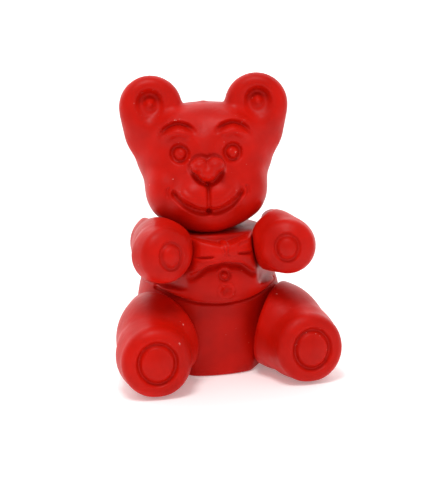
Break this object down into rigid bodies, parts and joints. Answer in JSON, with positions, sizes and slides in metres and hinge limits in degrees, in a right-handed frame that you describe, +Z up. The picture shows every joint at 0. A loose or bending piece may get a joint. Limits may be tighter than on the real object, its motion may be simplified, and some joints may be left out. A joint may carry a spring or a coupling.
{
  "type": "seated bear vinyl figure",
  "caption": "Seated bear figure in one-colour soft vinyl with round ears, bow tie and waistcoat; head, arms and legs turn on hidden pegs.",
  "frame": {"origin": "centre of the flat base, where the vertical neck axis meets the surface the figure sits on", "axes": "+Z up along the neck axis, the figure faces -Y, its left side is +X"},
  "size_m": [0.0728, 0.0604, 0.1],
  "materials": {
    "vinyl": "satin red soft vinyl",
    "plug": "satin red plastic",
    "peg_plastic": "off-white moulded plastic",
    "collar_plastic": "dark grey moulded plastic",
    "washer_plastic": "off-white moulded plastic"
  },
  "bodies": {
    "torso": {"body_shell": "vinyl", "base_plug": "plug", "neck_collar": "collar_plastic", "left_shoulder_collar": "collar_plastic", "right_shoulder_collar": "collar_plastic", "left_hip_collar": "collar_plastic", "right_hip_collar": "collar_plastic"},
    "head": {"head_shell": "vinyl", "neck_peg": "peg_plastic", "neck_washer": "washer_plastic"},
    "left_arm": {"left_arm_shell": "vinyl", "left_shoulder_peg": "peg_plastic", "left_shoulder_washer": "washer_plastic"},
    "right_arm": {"right_arm_shell": "vinyl", "right_shoulder_peg": "peg_plastic", "right_shoulder_washer": "washer_plastic"},
    "left_leg": {"left_leg_shell": "vinyl", "left_hip_peg": "peg_plastic", "left_hip_washer": "washer_plastic"},
    "right_leg": {"right_leg_shell": "vinyl", "right_hip_peg": "peg_plastic", "right_hip_washer": "washer_plastic"}
  },
  "joints": [
    {"name": "neck_turn", "type": "hinge", "parent": "torso", "child": "head", "pos_m": [0, 0, 0.0484], "axis": [0, 0, 1], "range_deg": [-5, 25]},
    {"name": "left_shoulder_swing", "type": "hinge", "parent": "torso", "child": "left_arm", "pos_m": [0.0178, -0.005, 0.041], "axis": [-0.9211, 0.3704, -0.1201], "range_deg": [-15, 10]},
    {"name": "right_shoulder_swing", "type": "hinge", "parent": "torso", "child": "right_arm", "pos_m": [-0.0178, -0.005, 0.041], "axis": [-0.9211, -0.3704, 0.1201], "range_deg": [-15, 10]},
    {"name": "left_hip_swing", "type": "hinge", "parent": "torso", "child": "left_leg", "pos_m": [0.0194, -0.01, 0.014], "axis": [-0.8046, 0.5534, 0.2152], "range_deg": [0, 20]},
    {"name": "right_hip_swing", "type": "hinge", "parent": "torso", "child": "right_leg", "pos_m": [-0.0194, -0.01, 0.014], "axis": [-0.8046, -0.5534, -0.2152], "range_deg": [0, 20]}
  ]
}
